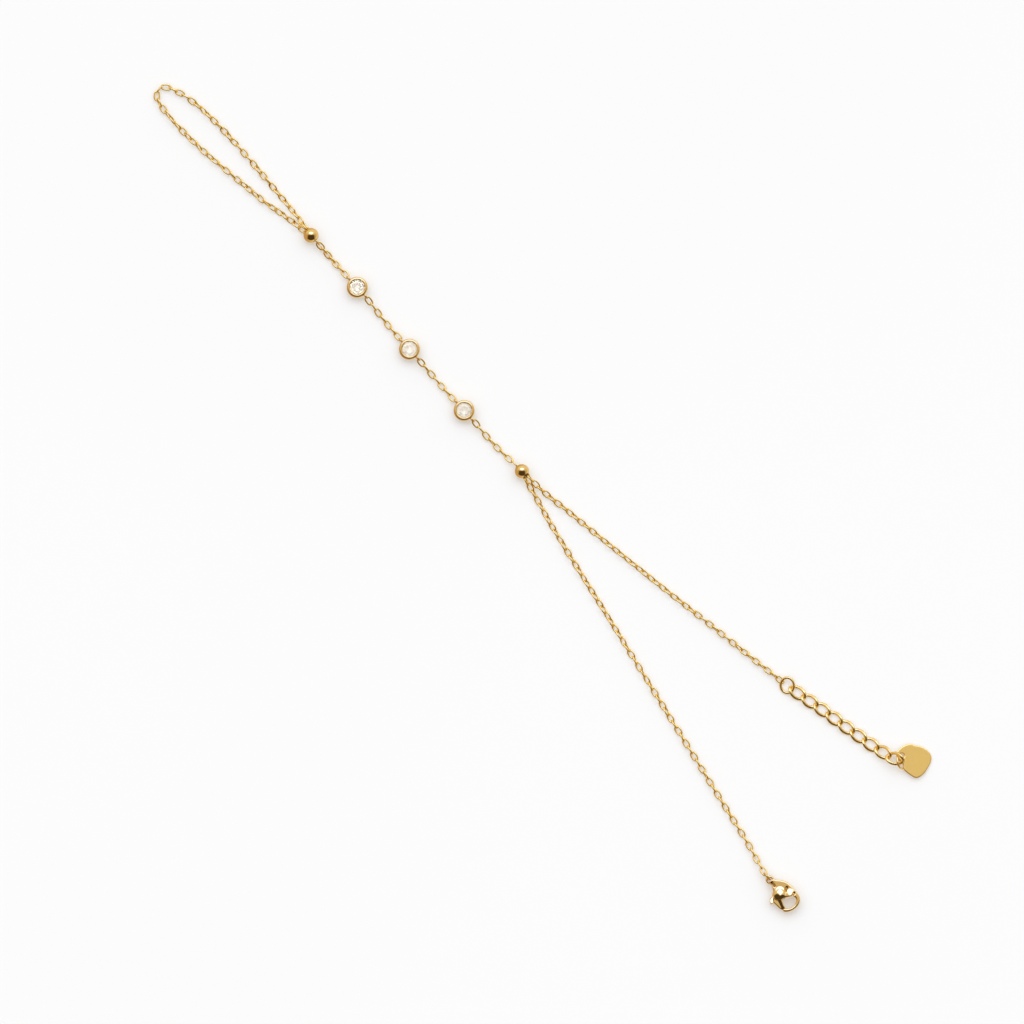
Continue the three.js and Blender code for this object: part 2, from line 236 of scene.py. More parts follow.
def gold(name, colour, roughness, grain, tint, bump=0.02, scale=1.0):
    mat = bpy.data.materials.new(name)
    mat.use_nodes = True
    n = Nodes(mat.node_tree)
    coord = n.new("ShaderNodeTexCoord")
    broad = n.new("ShaderNodeTexNoise")
    broad.inputs["Scale"].default_value = 420.0 * scale
    broad.inputs["Detail"].default_value = 3.0
    n.link(coord.outputs["Object"], broad.inputs["Vector"])
    fine = n.new("ShaderNodeTexNoise")
    fine.inputs["Scale"].default_value = 3600.0 * scale
    fine.inputs["Detail"].default_value = 2.0
    n.link(coord.outputs["Object"], fine.inputs["Vector"])
    dark = tuple(c * k for c, k in zip(colour, tint))
    shade = n.ramp(broad.outputs["Fac"], [(0.30, dark), (0.62, colour)])
    rough = n.new("ShaderNodeMapRange")
    rough.inputs["To Min"].default_value = roughness
    rough.inputs["To Max"].default_value = roughness + grain
    n.link(fine.outputs["Fac"], rough.inputs["Value"])
    relief = n.new("ShaderNodeBump")
    relief.inputs["Strength"].default_value = bump
    relief.inputs["Distance"].default_value = 0.00005
    n.link(fine.outputs["Fac"], relief.inputs["Height"])
    shader = n.new("ShaderNodeBsdfPrincipled")
    shader.inputs["Metallic"].default_value = 1.0
    n.link(shade, shader.inputs["Base Color"])
    n.link(rough.outputs[0], shader.inputs["Roughness"])
    n.link(relief.outputs[0], shader.inputs["Normal"])
    out = n.new("ShaderNodeOutputMaterial")
    n.link(shader.outputs[0], out.inputs["Surface"])
    return mat


def stone_material():
    mat = bpy.data.materials.new("clear_stone")
    mat.use_nodes = True
    n = Nodes(mat.node_tree)
    coord = n.new("ShaderNodeTexCoord")
    noise = n.new("ShaderNodeTexNoise")
    noise.inputs["Scale"].default_value = 900.0
    n.link(coord.outputs["Object"], noise.inputs["Vector"])
    tone = n.ramp(noise.outputs["Fac"], [(0.35, (0.985, 0.968, 0.93)), (0.65, (1.0, 0.99, 0.962))])
    shader = n.new("ShaderNodeBsdfPrincipled")
    shader.inputs["Roughness"].default_value = 0.0
    shader.inputs["IOR"].default_value = 2.15
    shader.inputs["Transmission Weight"].default_value = 0.78
    n.link(tone, shader.inputs["Base Color"])
    out = n.new("ShaderNodeOutputMaterial")
    n.link(shader.outputs[0], out.inputs["Surface"])
    return mat


def floor_material():
    mat = bpy.data.materials.new("floor_white")
    mat.use_nodes = True
    n = Nodes(mat.node_tree)
    coord = n.new("ShaderNodeTexCoord")
    noise = n.new("ShaderNodeTexNoise")
    noise.inputs["Scale"].default_value = 6.0
    n.link(coord.outputs["Object"], noise.inputs["Vector"])
    tone = n.ramp(noise.outputs["Fac"], [(0.3, (0.600, 0.600, 0.600)), (0.7, (0.606, 0.606, 0.606))])
    shader = n.new("ShaderNodeBsdfPrincipled")
    shader.inputs["Roughness"].default_value = 0.9
    shader.inputs["Specular IOR Level"].default_value = 0.0
    # The floor glows with a warm light of its own: painted fill that lifts the shadows on it and tints them tan,
    # standing in for light bounced off the gold.
    shader.inputs["Emission Color"].default_value = (1.0, 0.86, 0.64, 1.0)
    shader.inputs["Emission Strength"].default_value = 0.33
    n.link(tone, shader.inputs["Base Color"])
    out = n.new("ShaderNodeOutputMaterial")
    n.link(shader.outputs[0], out.inputs["Surface"])
    return mat


CHAIN_GOLD = gold("chain_gold", (0.985, 0.705, 0.205), 0.15, 0.10, (0.97, 0.94, 0.87), bump=0.05)
POLISHED_GOLD = gold("polished_gold", (0.83, 0.58, 0.23), 0.05, 0.06, (0.98, 0.97, 0.94))
WIRE_GOLD = gold("wire_gold", (1.0, 0.725, 0.265), 0.25, 0.12, (0.97, 0.94, 0.87), bump=0.06)
FLAT_GOLD = gold("flat_gold", (0.87, 0.59, 0.17), 0.12, 0.08, (0.985, 0.98, 0.965), bump=0.06)
CLEAR_STONE = stone_material()

# ------------------------------------------------------------------ mesh helpers


def piece(name, parts, material, nodes=(), body="chain", smooth=True, sharp=None):
    """One object from (vertices in mm, faces) parts."""
    verts, faces, base = [], [], 0
    for v, f in parts:
        verts.append(np.asarray(v, float))
        faces.extend((np.asarray(f) + base).tolist() if not isinstance(f, list) else [[i + base for i in q] for q in f])
        base += len(v)
    mesh = bpy.data.meshes.new(name)
    mesh.from_pydata(to_m(np.concatenate(verts)).tolist(), [], faces)
    mesh.validate()
    mesh.polygons.foreach_set("use_smooth", [smooth] * len(mesh.polygons))
    mesh.materials.append(material)
    mesh.update()
    if sharp is not None:
        mesh.set_sharp_from_angle(angle=math.radians(sharp))
    obj = bpy.data.objects.new(name, mesh)
    bpy.context.scene.collection.objects.link(obj)
    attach(obj, body)
    if nodes:
        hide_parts(*nodes)
    return obj


def rot(axis, deg):
    a = math.radians(deg)
    c, s = math.cos(a), math.sin(a)
    return {"x": np.array([[1, 0, 0], [0, c, -s], [0, s, c]]),
            "y": np.array([[c, 0, s], [0, 1, 0], [-s, 0, c]]),
            "z": np.array([[c, -s, 0], [s, c, 0], [0, 0, 1]])}[axis]


def sweep_closed(path, radius, sides=12, section=None):
    """A wire along a closed path (n x 3). section(angle) may scale its radius."""
    n = len(path)
    t = np.roll(path, -1, 0) - np.roll(path, 1, 0)
    t /= np.linalg.norm(t, axis=1)[:, None]
    normal = np.cross(t[0], [0, 0, 1.0])
    if np.linalg.norm(normal) < 0.2:
        normal = np.cross(t[0], [1.0, 0, 0])
    normal /= np.linalg.norm(normal)
    frames = [normal]
    for i in range(1, n + 1):
        v = frames[-1] - t[i % n] * np.dot(frames[-1], t[i % n])
        frames.append(v / np.linalg.norm(v))
    last, first = frames[n], frames[0]
    twist = math.atan2(np.dot(np.cross(first, last), t[0]), np.dot(first, last))
    angle = np.linspace(0, 2 * np.pi, sides, endpoint=False)
    scale = np.ones(sides) if section is None else np.array([section(a) for a in angle])
    out = np.zeros((n, sides, 3))
    for i in range(n):
        a = frames[i]
        b = np.cross(t[i], a)
        turn = -twist * i / n
        c, s = math.cos(turn), math.sin(turn)
        a, b = a * c + b * s, b * c - a * s
        out[i] = path[i] + radius * (np.outer(np.cos(angle) * scale, a) + np.outer(np.sin(angle) * scale, b))
    i = np.arange(n)[:, None]
    j = np.arange(sides)[None]
    k, m = (i + 1) % n, (j + 1) % sides
    faces = np.stack([i * sides + j, k * sides + j, k * sides + m, i * sides + m], -1).reshape(-1, 4)
    return out.reshape(-1, 3), faces


def lathe(profile, steps=96, closed=True):
    """Revolves (r, z) points about Z."""
    p = np.asarray(profile, float)
    n = len(p)
    a = np.linspace(0, 2 * np.pi, steps, endpoint=False)
    v = np.stack([np.outer(np.cos(a), p[:, 0]), np.outer(np.sin(a), p[:, 0]), np.tile(p[:, 1], (steps, 1))], -1).reshape(-1, 3)
    i = np.arange(steps)[:, None]
    j = np.arange(n if closed else n - 1)[None]
    k, m = (i + 1) % steps, (j + 1) % n
    faces = np.stack([i * n + j, k * n + j, k * n + m, i * n + m], -1).reshape(-1, 4)
    return v, faces


def rounded(points, radius, steps=6):
    """Closed (r, z) polygon with rounded corners; radius may be a list."""
    p = np.asarray(points, float)
    n = len(p)
    out = []
    for i in range(n):
        r = radius[i] if isinstance(radius, (list, tuple)) else radius
        a, b, c = p[i - 1], p[i], p[(i + 1) % n]
        u, w = a - b, c - b
        lu, lw = np.linalg.norm(u), np.linalg.norm(w)
        u, w = u / lu, w / lw
        half = math.acos(np.clip(np.dot(u, w), -1, 1)) / 2
        cut = min(r / math.tan(half) if half > 1e-3 else 0, lu * 0.49, lw * 0.49)
        if cut < 1e-4:
            out.append(b)
            continue
        s, e = b + u * cut, b + w * cut
        for q in np.linspace(0, 1, steps):
            out.append((1 - q) ** 2 * s + 2 * q * (1 - q) * b + q ** 2 * e)
    return np.array(out)


def torus(radius, wire, steps=48, sides=14):
    a = np.linspace(0, 2 * np.pi, steps, endpoint=False)
    return sweep_closed(np.c_[radius * np.cos(a), radius * np.sin(a), 0 * a], wire, sides)


def moved(part, *matrices, at=(0, 0, 0)):
    v, f = part
    for m in matrices:
        v = v @ m.T
    return v + np.asarray(at, float), f


def catmull(rows, per=24):
    """Points along a centripetal Catmull-Rom curve through rows."""
    p = np.asarray(rows, float)
    p = np.vstack([2 * p[0] - p[1], p, 2 * p[-1] - p[-2]])
    out = []
    for i in range(1, len(p) - 2):
        p0, p1, p2, p3 = p[i - 1:i + 3]
        k = [0.0]
        for a, b in ((p0, p1), (p1, p2), (p2, p3)):
            k.append(k[-1] + max(np.linalg.norm(b - a), 1e-6) ** 0.5)
        for u in np.linspace(k[1], k[2], per, endpoint=False):
            a1 = (k[1] - u) / (k[1] - k[0]) * p0 + (u - k[0]) / (k[1] - k[0]) * p1
            a2 = (k[2] - u) / (k[2] - k[1]) * p1 + (u - k[1]) / (k[2] - k[1]) * p2
            a3 = (k[3] - u) / (k[3] - k[2]) * p2 + (u - k[2]) / (k[3] - k[2]) * p3
            b1 = (k[2] - u) / (k[2] - k[0]) * a1 + (u - k[0]) / (k[2] - k[0]) * a2
            b2 = (k[3] - u) / (k[3] - k[1]) * a2 + (u - k[1]) / (k[3] - k[1]) * a3
            out.append((k[2] - u) / (k[2] - k[1]) * b1 + (u - k[1]) / (k[2] - k[1]) * b2)
    out.append(p[-2])
    return np.array(out)


def spline_loop(points, per=8):
    """A closed outline (2-D) smoothed by a Catmull-Rom spline."""
    p = np.asarray(points, float)
    n = len(p)
    out = []
    for i in range(n):
        p0, p1, p2, p3 = p[i - 1], p[i], p[(i + 1) % n], p[(i + 2) % n]
        for u in np.linspace(0, 1, per, endpoint=False):
            out.append(0.5 * (2 * p1 + (p2 - p0) * u + (2 * p0 - 5 * p1 + 4 * p2 - p3) * u ** 2 + (3 * p1 - p0 - 3 * p2 + p3) * u ** 3))
    return np.array(out)


# -------- solids from distance fields, for cast and stamped shapes


def sd_polygon(x, y, poly):
    """Signed distance to a polygon, negative inside."""
    d = np.full(x.shape, 1e9)
    inside = np.zeros(x.shape, bool)
    n = len(poly)
    for i in range(n):
        ax, ay = poly[i]
        bx, by = poly[(i + 1) % n]
        ex, ey = bx - ax, by - ay
        wx, wy = x - ax, y - ay
        t = np.clip((wx * ex + wy * ey) / (ex * ex + ey * ey + 1e-12), 0, 1)
        d = np.minimum(d, (wx - ex * t) ** 2 + (wy - ey * t) ** 2)
        if ay != by:
            hit = ((ay <= y) != (by <= y)) & (x < ax + (y - ay) * (bx - ax) / (by - ay))
            inside ^= hit
    d = np.sqrt(d)
    return np.where(inside, -d, d)


def smax(a, b, k):
    h = np.clip(0.5 - 0.5 * (b - a) / k, 0, 1)
    return b * (1 - h) + a * h + k * h * (1 - h)


def smin(a, b, k):
    return -smax(-a, -b, k)


def surface_nets(f, origin, step):
    """Quads on the zero surface of a field sampled on a grid."""
    f = np.where(np.abs(f) < 1e-7, 1e-7, f)
    s = f < 0
    nx, ny, nz = f.shape
    shape = (nx - 1, ny - 1, nz - 1)

    def corner(a, dx, dy, dz):
        return a[dx:dx + shape[0], dy:dy + shape[1], dz:dz + shape[2]]

    count = sum(corner(s, dx, dy, dz).astype(int) for dx in (0, 1) for dy in (0, 1) for dz in (0, 1))
    active = (count > 0) & (count < 8)
    acc = np.zeros(shape + (3,))
    cnt = np.zeros(shape)
    for axis in range(3):
        others = [i for i in range(3) if i != axis]
        for p in (0, 1):
            for q in (0, 1):
                c0 = [0, 0, 0]
                c0[others[0]], c0[others[1]] = p, q
                c1 = list(c0)
                c1[axis] = 1
                f0, f1 = corner(f, *c0), corner(f, *c1)
                cross = ((f0 < 0) != (f1 < 0)) & active
                t = np.where(cross, f0 / np.where(cross, f0 - f1, 1), 0)
                pos = np.zeros(shape + (3,))
                pos[..., others[0]], pos[..., others[1]] = p, q
                pos[..., axis] = t
                acc += pos * cross[..., None]
                cnt += cross
    index = np.full(shape, -1)
    index[active] = np.arange(active.sum())
    cells = np.argwhere(active)
    verts = (cells + acc[active] / cnt[active][:, None]) * step + np.asarray(origin, float)
    faces = []
    for axis in range(3):
        o1, o2 = [i for i in range(3) if i != axis]
        lo = [slice(1, -1)] * 3
        lo[axis] = slice(0, -1)
        hi = [slice(1, -1)] * 3
        hi[axis] = slice(1, None)
        a, b = s[tuple(lo)], s[tuple(hi)]
        for flag in (True, False):
            where = np.argwhere((a != b) & (a == flag))
            if not len(where):
                continue
            e = where.copy()
            e[:, o1] += 1
            e[:, o2] += 1
            ring = []
            for d1, d2 in ((0, 0), (1, 0), (1, 1), (0, 1)):
                c = e.copy()
                c[:, o1] -= d1
                c[:, o2] -= d2
                ring.append(index[c[:, 0], c[:, 1], c[:, 2]])
            quad = np.stack(ring, -1)
            outward = flag if axis != 1 else not flag
            faces.append(quad if outward else quad[:, ::-1])
    return verts, np.concatenate(faces)


def grid(lo, hi, step):
    ax = [np.arange(a - 2 * step, b + 2.5 * step, step) for a, b in zip(lo, hi)]
    return np.meshgrid(*ax, indexing="ij"), [a[0] for a in ax]


# ------------------------------------------------------------------ fine cable chain

WIRE = 0.150
LINK_LENGTH, LINK_WIDTH = 2.12, 1.30
PITCH = 1.46


def oval(length, width, wire, steps=30, power=2.35):
    a, b = length / 2 - wire, width / 2 - wire
    t = np.linspace(0, 2 * np.pi, steps, endpoint=False)
    c, s = np.cos(t), np.sin(t)
    return np.c_[a * np.sign(c) * np.abs(c) ** (2 / power), b * np.sign(s) * np.abs(s) ** (2 / power), 0 * t]


CABLE_LINK = sweep_closed(oval(LINK_LENGTH, LINK_WIDTH, WIRE), WIRE, 10)
rng = np.random.default_rng(20)


def link_at(centre, tangent, roll, template=CABLE_LINK):
    """The link's length along the tangent; roll 0 lies flat, 90 stands on edge."""
    t = tangent / np.linalg.norm(tangent)
    side = np.cross([0, 0, 1.0], t)
    side /= np.linalg.norm(side)
    up = np.cross(t, side)
    r = math.radians(roll)
    y = side * math.cos(r) + up * math.sin(r)
    z = np.cross(t, y)
    m = np.stack([t, y, z], 1)
    return moved(template, m, at=centre)


def rest_height(roll):
    b = LINK_WIDTH / 2 - WIRE
    s, c = abs(math.sin(math.radians(roll))), abs(math.cos(math.radians(roll)))
    return max(WIRE + b * s, WIRE + b * c - 0.085)


def along(route, stations):
    seg = np.linalg.norm(np.diff(route, axis=0), axis=1)
    s = np.r_[0, np.cumsum(seg)]
    return np.stack([np.interp(stations, s, route[:, k]) for k in range(3)], -1), s[-1]


def strand(rows, first_roll, start=0.0, end=None, count=None, stations=None, wander=6.0, swing=3.0, rolls=None, flat_ends=(False, False)):
    """Links along a route of (x, y, lift) rows. Returns parts."""
    route = catmull(rows)
    _, total = along(route, [0.0])
    end = total if end is None else end
    if stations is None:
        count = int(round((end - start) / PITCH)) + 1 if count is None else count
        stations = np.linspace(start, end, count)
    count = len(stations)
    centres, _ = along(route, stations)
    parts = []
    angle = []
    walk = 0.0
    for i in range(count):
        walk = walk * 0.75 + rng.normal(0, wander) * 0.66
        free = min(1.0, i / 3.0 if flat_ends[0] else 1.0, (count - 1 - i) / 3.0 if flat_ends[1] else 1.0)
        base = first_roll if rolls is None else np.interp(i, *zip(*rolls))
        angle.append(base + walk * free + 90.0 * (i % 2))
    for i in range(count):
        c = centres[i].copy()
        c[2] += rest_height(angle[i])
        centres[i] = c
    for i in range(count):
        a, b = centres[max(i - 1, 0)], centres[min(i + 1, count - 1)]
        t = b - a
        t[:2] += np.array([-t[1], t[0]]) * math.tan(math.radians(rng.normal(0, swing)))
        v, f = link_at(centres[i], t, angle[i] + rng.normal(0, wander * 0.5))
        v[:, 2] += max(0.0, -v[:, 2].min())
        parts.append((v, f))
    return parts


FINGER_LOOP = [
    (-0.20, 62.70, 0.62), (-0.36, 63.66, 0.34), (-0.66, 65.90, 0.08), (-1.22, 68.60, 0), (-2.25, 73.10, 0), (-3.20, 79.20, 0), (-3.98, 84.40, 0),
    (-4.62, 89.40, 0), (-4.98, 94.60, 0), (-4.96, 98.60, 0), (-4.72, 101.20, 0), (-4.02, 102.80, 0), (-2.85, 103.36, 0), (-1.62, 102.66, 0),
    (-0.62, 100.80, 0), (0.16, 98.10, 0), (0.78, 94.20, 0), (1.08, 89.40, 0), (1.12, 83.60, 0), (1.02, 78.20, 0), (0.84, 73.00, 0),
    (0.68, 68.60, 0.06), (0.52, 65.90, 0.50), (0.34, 63.70, 1.00), (0.20, 62.75, 1.05),
]
CENTRE = {
    "centre_chain_1": dict(rows=[(0.06, 61.30, 0.90), (0.06, 59.61, 0.62), (0.03, 57.40, 0.04), (0.03, 54.60, 0), (0.0, 51.80, 0.31)], stations=[0.9, 2.05, 3.2, 4.35, 5.6, 6.85, 8.15, 9.5], roll=90, flat=(False, True)),
    "centre_chain_2": dict(rows=[(-0.06, 44.92, 0.72), (-0.14, 43.30, 0.22), (-0.30, 40.60, 0), (-0.38, 38.20, 0), (-0.43, 35.97, 0.31)], count=7, flat=(True, True)),
    "centre_chain_3": dict(rows=[(-0.47, 29.04, 0.72), (-0.47, 27.40, 0.22), (-0.50, 24.60, 0), (-0.53, 22.20, 0), (-0.53, 19.88, 0.31)], count=7, flat=(True, True)),
    "centre_chain_4": dict(rows=[(-0.46, 12.95, 0.72), (-0.50, 11.40, 0.22), (-0.50, 8.30, 0), (-0.38, 5.60, 0), (-0.20, 3.60, 0.16), (-0.06, 2.05, 0.55), (0.0, 0.50, 0.80)], count=9, flat=(True, False)),
}
STRAND_TO_CLASP = [
    (-0.16, -0.60, 0.40), (-0.52, -1.58, 0.28), (-0.88, -3.60, 0.08), (-1.52, -6.60, 0), (-2.53, -11.03, 0), (-4.11, -19.38, 0), (-6.55, -33.33, 0), (-9.05, -47.27, 0),
    (-11.56, -61.22, 0), (-14.06, -75.14, 0), (-15.55, -83.52, 0), (-16.42, -87.40, 0.08), (-16.98, -89.94, 0.62),
]
STRAND_TO_EXTENDER = [
    (0.10, -0.75, 1.05), (0.24, -1.70, 1.00), (0.34, -3.90, 0.72), (0.66, -6.69, 0.16), (1.51, -11.40, 0), (2.41, -17.11, 0), (3.81, -25.67, 0), (5.71, -37.07, 0),
    (7.26, -45.61, 0), (9.18, -56.99, 0), (10.42, -63.98, 0.05),
]

piece("cable_finger_loop", strand(FINGER_LOOP, 35, wander=16, swing=5), CHAIN_GOLD, ["finger_loop_chain"])
for name, c in CENTRE.items():
    piece("cable_" + name[-7:], strand(c["rows"], c.get("roll", 0), count=c.get("count"), stations=c.get("stations"), wander=9, flat_ends=c["flat"]), CHAIN_GOLD, [name])
piece("cable_to_clasp", strand(STRAND_TO_CLASP, 0, wander=9, rolls=[(0, 30), (6, 42), (30, 45), (38, 30), (46, 8), (63, 4)]), CHAIN_GOLD, ["wrist_chain_clasp"])
piece("cable_to_extender", strand(STRAND_TO_EXTENDER, 0, wander=9, rolls=[(0, 20), (6, 28), (14, 42), (24, 45), (30, 20), (34, 6), (45, 4)]), CHAIN_GOLD, ["wrist_chain_extender"])

# ------------------------------------------------------------------ beads


def bead(name, node, x, y, radius, bore, tilt):
    a0 = math.asin(bore / radius)
    outer = [(radius * math.sin(a), -radius * math.cos(a)) for a in np.linspace(a0 + 0.06, math.pi - a0 - 0.06, 40)]
    top = radius * math.cos(a0)
    lip = 0.05
    profile = [(bore, -top + lip), (bore + 0.012, -top + 0.012), (bore + 0.05, -top)] + outer + [(bore + 0.05, top), (bore + 0.012, top - 0.012), (bore, top - lip)]
    inner = [(bore, z) for z in np.linspace(top - lip - 0.05, -top + lip + 0.05, 6)]
    v, f = lathe(profile + inner, 72)
    v, f = moved((v, f), rot("x", -90), rot("x", -tilt), at=(x, y, radius))
    piece(name, [(v, f[:, ::-1])], POLISHED_GOLD, [node])


bead("round_bead_finger", "finger_bead", 0.06, 62.02, 1.48, 0.72, 0)
bead("round_bead_wrist", "wrist_bead", 0.0, 0.0, 1.40, 0.66, 14)

# ------------------------------------------------------------------ collets and stones

RIM = np.vstack([
    rounded([(1.30, 0.0), (1.93, 0.0), (2.03, 0.14), (2.05, 0.60)], [0.02, 0.06, 0.10, 0.0], 5),
    [(1.74 + 0.31 * math.cos(a), 1.50 + 0.44 * math.sin(a)) for a in np.linspace(0.0, math.pi / 2, 22)],
    [(1.60 - 0.145 * math.sin(a), 1.81 + 0.14 * math.cos(a)) for a in np.linspace(0.05, math.pi / 2, 8)],
    [(1.455, 1.58), (1.50, 1.50), (1.62, 1.40), (1.62, 1.02), (1.30, 0.24)],
])


def collet(index, x, y, heading):
    base = lathe(RIM, 128)
    parts = [(base[0], base[1][:, ::-1])]
    for side, z in ((1, 0.85), (-1, 1.26)):
        ring = moved(torus(0.52, 0.19, 48, 16), rot("y", 90), at=(0, side * 2.36, z))
        parts.append(ring)
    parts = [moved(p, rot("z", -heading), at=(x, y, 0)) for p in parts]
    piece(f"collet_{index}", parts, POLISHED_GOLD, [f"bezel_{index}"])


def brilliant():
    """A round brilliant as flat facets: table, star, bezel, upper girdle, girdle, lower girdle, pavilion mains."""
    g, zg, band = 1.50, 1.41, 0.08
    table, zt = 0.82, 1.86
    culet = 0.20
    pts, faces = [], []

    def ring(r, z, n, off):
        start = len(pts)
        for i in range(n):
            a = (i + off) / n * 2 * math.pi
            pts.append((r * math.cos(a), r * math.sin(a), z))
        return start

    t = ring(table, zt, 8, 0.0)
    rs = (table + g) / 2 - 0.02
    zs = zt - (rs - table) * math.tan(math.radians(31))
    s = ring(rs, zs, 8, 0.5)
    gu = ring(g, zg + band / 2, 16, 0.0)
    gl = ring(g, zg - band / 2, 16, 0.0)
    rp = g * 0.26
    zp = culet + (zg - band / 2 - culet) * 0.24
    lo = ring(rp, zp, 8, 0.5)
    c = len(pts)
    pts.append((0, 0, culet))
    faces.append([t + i for i in range(8)])
    for i in range(8):
        j = (i + 1) % 8
        k = (i - 1) % 8
        faces.append([t + i, s + i, t + j])                                    # star
        faces.append([t + i, s + k, gu + 2 * i, s + i])                        # bezel kite
        faces.append([s + i, gu + 2 * i, gu + 2 * i + 1])                      # upper girdle
        faces.append([s + i, gu + 2 * i + 1, gu + (2 * i + 2) % 16])
    for i in range(16):
        j = (i + 1) % 16
        faces.append([gu + i, gl + i, gl + j, gu + j])
    for i in range(8):
        k = (i - 1) % 8
        faces.append([gl + 2 * i, lo + k, c, lo + i])                          # pavilion main
        faces.append([gl + 2 * i, lo + i, gl + 2 * i + 1])
        faces.append([gl + 2 * i + 1, lo + i, gl + (2 * i + 2) % 16])
    return np.array(pts), faces


def stone(index, x, y, heading, turn):
    v, f = brilliant()
    v = v @ rot("z", turn - heading).T + np.array([x, y, 0])
    obj = piece(f"brilliant_{index}", [(v, f)], CLEAR_STONE, [f"stone_{index}"], smooth=False)
    import bmesh
    bm = bmesh.new()
    bm.from_mesh(obj.data)
    bmesh.ops.recalc_face_normals(bm, faces=bm.faces)
    bm.to_mesh(obj.data)
    bm.free()


for i, x, y, h, turn in ((1, 0.01, 48.39, -1.2, 7), (2, -0.47, 32.51, -0.9, 21), (3, -0.49, 16.42, 0.8, 33)):
    collet(i, x, y, h)
    stone(i, x, y, h, turn)

# ------------------------------------------------------------------ lobster clasp

CLASP_AT = np.array([-17.18, -92.01, 1.25])
TURN = rot("z", -90)
BODY = spline_loop([
    (0.30, -0.42), (1.20, -0.60), (1.85, -0.90), (2.35, -1.30), (2.78, -1.64), (3.30, -1.80), (3.84, -1.68), (4.26, -1.30),
    (4.44, -0.85), (4.56, -0.34), (4.80, 0.14), (5.08, 0.60), (5.42, 1.06), (5.88, 1.32), (6.42, 1.14), (6.80, 0.60), (6.92, -0.10),
    (6.80, -0.75), (6.42, -1.30), (6.10, -1.66), (6.08, -2.02), (6.42, -2.20), (7.00, -1.66), (7.36, -0.82), (7.48, 0.10), (7.28, 1.12),
    (6.62, 1.90), (5.62, 2.20), (4.50, 2.32), (3.34, 2.28), (2.30, 2.02), (1.40, 1.42), (0.80, 0.85), (0.30, 0.50)], 5)
LEVER = spline_loop([
    (2.24, -0.86), (2.60, -0.46), (2.84, -0.12), (3.20, 0.02), (3.60, -0.04), (4.00, -0.36), (4.50, -0.84), (5.20, -1.20), (5.86, -1.36),
    (6.14, -1.50), (6.24, -1.76), (6.14, -2.04), (5.84, -2.24), (5.30, -2.38), (4.70, -2.42), (4.20, -2.46), (3.60, -2.44),
    (3.04, -2.18), (2.64, -1.78), (2.24, -1.32)], 4)
PIVOT = (3.30, -0.70)
DOWN, ACROSS = (0.7466, -0.6652), (0.6652, 0.7466)     # along and across the swell of the cast body


def ellipsoid(x, y, z, centre, radii):
    """Distance to an ellipsoid, near enough for blending."""
    q = [(v - c) / r for v, c, r in zip((x, y, z), centre, radii)]
    k = np.sqrt(sum(v * v for v in q))
    g = np.sqrt(sum((v / r) ** 2 for v, r in zip(q, radii)))
    return np.where(g > 1e-9, k * (k - 1) / np.maximum(g, 1e-9), -min(radii))


def clasp_body():
    step = 0.058
    (x, y, z), origin = grid((-0.9, -2.2, -1.3), (7.6, 2.9, 1.3), step)
    x2, y2 = x[:, :, 0], y[:, :, 0]
    d2 = sd_polygon(x2, y2, BODY)
    plate = smax(np.repeat(d2[:, :, None], z.shape[2], 2), np.abs(z) - 0.79, 0.26)
    down, across = x * DOWN[0] + y * DOWN[1], x * ACROSS[0] + y * ACROSS[1]
    main = ellipsoid(down, across, z, (3.42, 1.95, 0), (2.40, 1.56, 1.20))
    shoulder = ellipsoid(down, across, z, (3.40, 3.92, 0), (1.95, 1.34, 1.10))
    swell = smax(smin(main, shoulder, 0.06), d2[:, :, None] + 0.02, 0.22)
    f = smin(plate, swell, 0.14)
    # two flats under the main swell, one each side of its lower tip
    for lean, (fd, fa), (pd, pa, pz) in ((20, (0.407, -0.914), (3.03, 1.69, 1.15)), (20, (0.632, 0.775), (3.15, 2.28, 1.15))):
        s, c = math.sin(math.radians(lean)), math.cos(math.radians(lean))
        flat = (z - pz) * c + ((down - pd) * fd + (across - pa) * fa) * s
        away = 2.0 * np.clip(np.hypot(down - 3.62, across - 1.90) - 1.30, 0, None)
        f = smax(f, flat - away, 0.05)
    for seam in (((3.38, 1.42), (3.52, 1.10), (3.70, 0.72)), ((5.12, 1.72), (5.22, 1.46), (5.34, 1.14)),
                 ((0.66, -0.18), (1.10, -0.22), (1.55, -0.27))):
        d = np.full(x2.shape, 1e9)
        for (ax, ay), (bx, by) in zip(seam, seam[1:]):
            t = np.clip(((x2 - ax) * (bx - ax) + (y2 - ay) * (by - ay)) / ((bx - ax) ** 2 + (by - ay) ** 2), 0, 1)
            d = np.minimum(d, np.hypot(x2 - ax - t * (bx - ax), y2 - ay - t * (by - ay)))
        f = f + 0.36 * np.exp(-(d[:, :, None] / 0.15) ** 2)
    eye = np.sqrt((np.sqrt(x ** 2 + y ** 2) - 0.60) ** 2 + z ** 2) - 0.24
    f = smin(f, eye, 0.10)
    f = np.maximum(f, -(np.sqrt(x ** 2 + y ** 2) - 0.36))
    sweep = np.full(x2.shape, 1e9)
    for a in range(0, 29, 4):
        c, s = math.cos(math.radians(a)), math.sin(math.radians(a))
        px, py = x2 - PIVOT[0], y2 - PIVOT[1]
        sweep = np.minimum(sweep, sd_polygon(px * c + py * s + PIVOT[0], -px * s + py * c + PIVOT[1], LEVER))
    slot = np.maximum(sweep[:, :, None] - 0.13, np.abs(z) - 0.58)
    f = smax(f, -slot, 0.06)
    pin = np.maximum(np.sqrt((x - PIVOT[0]) ** 2 + (y - PIVOT[1]) ** 2) - 0.30, np.abs(z) - 1.0)
    f = np.minimum(f, pin)
    v, q = surface_nets(f, origin, step)
    piece("cast_clasp_body", [moved((v, q), TURN, at=CLASP_AT)], POLISHED_GOLD, ["clasp_body"])


